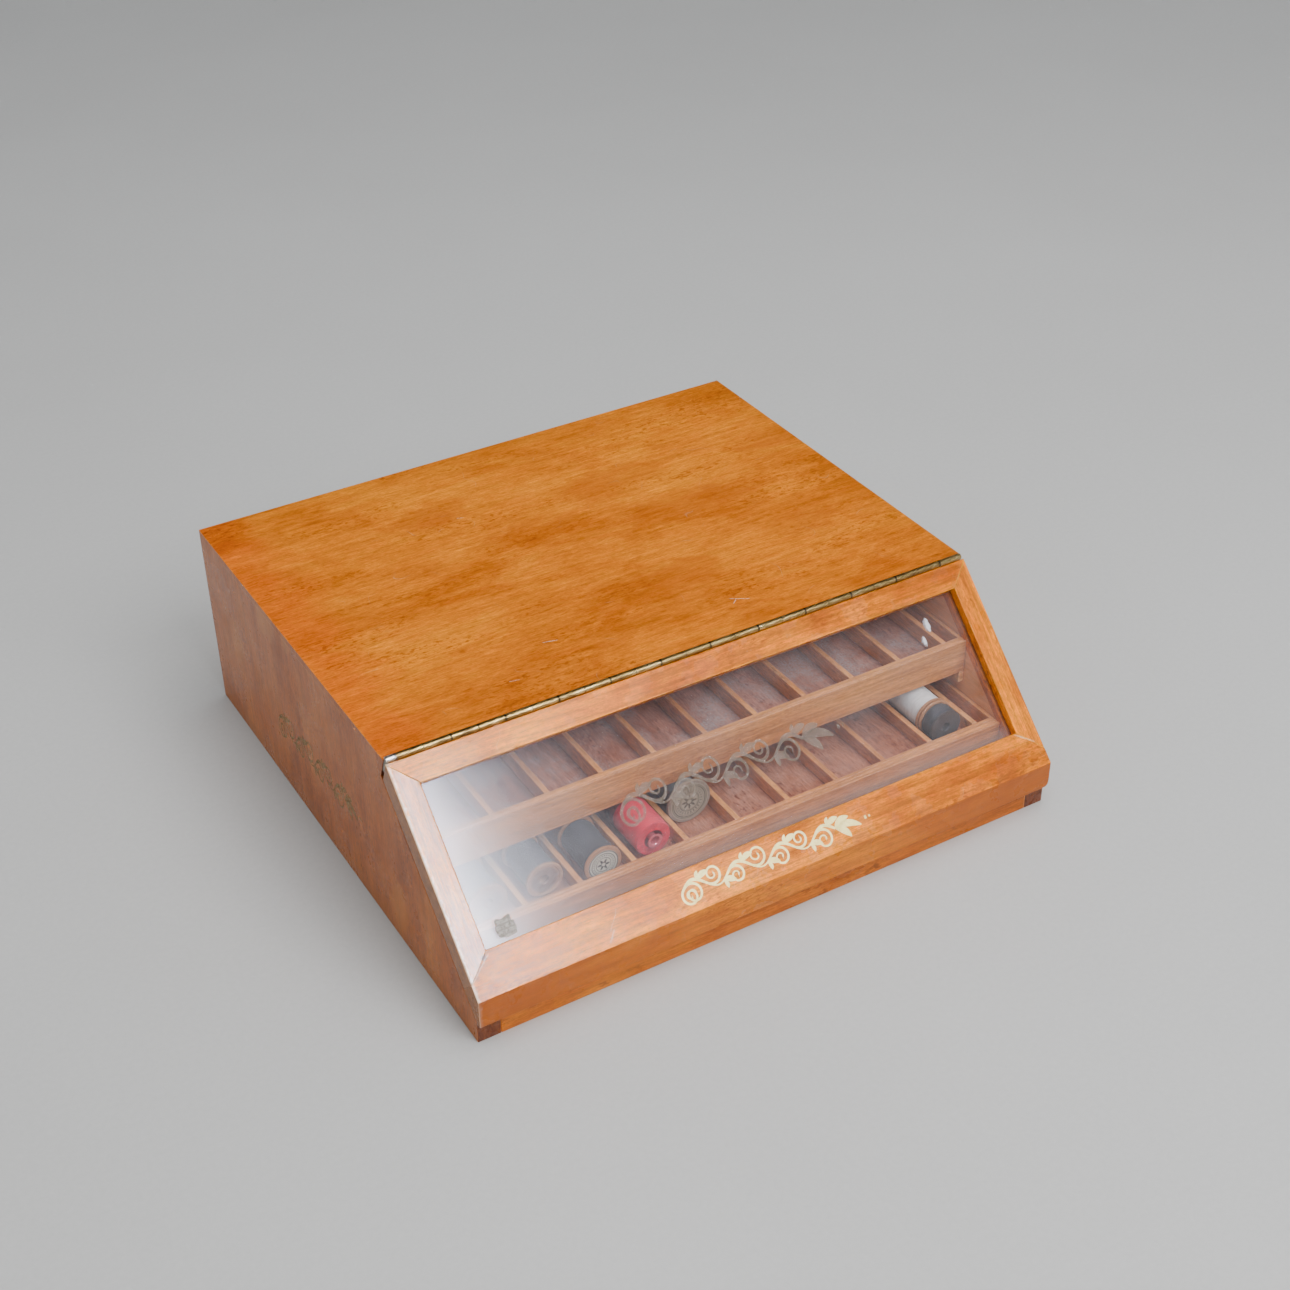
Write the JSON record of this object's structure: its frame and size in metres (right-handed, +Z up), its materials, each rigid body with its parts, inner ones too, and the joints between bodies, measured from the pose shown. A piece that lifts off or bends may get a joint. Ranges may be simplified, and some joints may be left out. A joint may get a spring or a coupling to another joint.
{
  "type": "bobbin box",
  "caption": "Low wooden counter box with a sloped glazed lid on a full-width hinge, over stepped divided trays that hold spools of sewing thread.",
  "frame": {"origin": "middle of the bounding box, on the rest face under the case", "axes": "+X towards the right side seen from the front, +Y towards the back, away from the sloped lid, +Z up"},
  "size_m": [0.5, 0.4844, 0.1687],
  "materials": {
    "veneer": "satin",
    "lid_wood": "satin",
    "pale_front_wood": "satin",
    "tray_board_wood": "matte",
    "tray_floor_wood": "matte",
    "divider_wood": "matte",
    "inner_wood": "matte",
    "old_brass": "aged",
    "pin_steel": "satin",
    "pane_glass": "gloss",
    "spool_wood": "matte",
    "spool_plastic": "gloss",
    "spool_pulp": "matte",
    "thread_black": "matte",
    "thread_red": "matte",
    "thread_grey": "matte",
    "thread_white": "matte"
  },
  "bodies": {
    "cabinet": {"left_side_panel": "veneer", "right_side_panel": "veneer", "top_panel": "veneer", "bottom_panel": "inner_wood", "front_board": "pale_front_wood", "back_panel": "inner_wood", "upper_ledge_left": "inner_wood", "upper_ledge_right": "inner_wood", "hinge_cabinet_leaf": "old_brass", "hinge_pin": "pin_steel", "lower_tray_front": "tray_board_wood", "lower_tray_floor": "tray_floor_wood", "lower_tray_left_end": "tray_board_wood", "lower_tray_right_end": "tray_board_wood", "lower_tray_rear": "tray_board_wood", "upper_tray_front": "tray_board_wood", "upper_tray_floor": "tray_floor_wood", "upper_tray_left_end": "tray_board_wood", "upper_tray_right_end": "tray_board_wood", "upper_tray_rear": "tray_board_wood", "lower_divider_01": "divider_wood", "lower_divider_02": "divider_wood", "lower_divider_03": "divider_wood", "lower_divider_04": "divider_wood", "lower_divider_05": "divider_wood", "lower_divider_06": "divider_wood", "lower_divider_07": "divider_wood", "lower_divider_08": "divider_wood", "lower_divider_09": "divider_wood", "lower_divider_10": "divider_wood", "upper_divider_01": "divider_wood", "upper_divider_02": "divider_wood", "upper_divider_03": "divider_wood", "upper_divider_04": "divider_wood", "upper_divider_05": "divider_wood", "upper_divider_06": "divider_wood", "upper_divider_07": "divider_wood", "upper_divider_08": "divider_wood", "upper_divider_09": "divider_wood", "upper_divider_10": "divider_wood", "spool_01_core": "spool_wood", "spool_02_core": "spool_wood", "spool_03_core": "spool_wood", "spool_04_core": "spool_plastic", "spool_05_core": "spool_pulp", "spool_10_front_core": "spool_wood", "spool_10_rear_core": "spool_wood", "spool_01_thread": "thread_black", "spool_02_thread": "thread_black", "spool_03_thread": "thread_black", "spool_04_thread": "thread_red", "spool_05_thread": "thread_grey", "spool_10_front_thread": "thread_black", "spool_10_rear_thread": "thread_white"},
    "lid": {"lid_top_rail": "lid_wood", "lid_bottom_rail": "lid_wood", "lid_left_stile": "lid_wood", "lid_right_stile": "lid_wood", "lid_pane": "pane_glass", "hinge_lid_leaf": "old_brass"}
  },
  "joints": [
    {"name": "lid_hinge", "type": "hinge", "parent": "cabinet", "child": "lid", "pos_m": [0, -0.11725, 0.1662], "axis": [-1, 0, 0], "range_deg": [0, 224]}
  ]
}
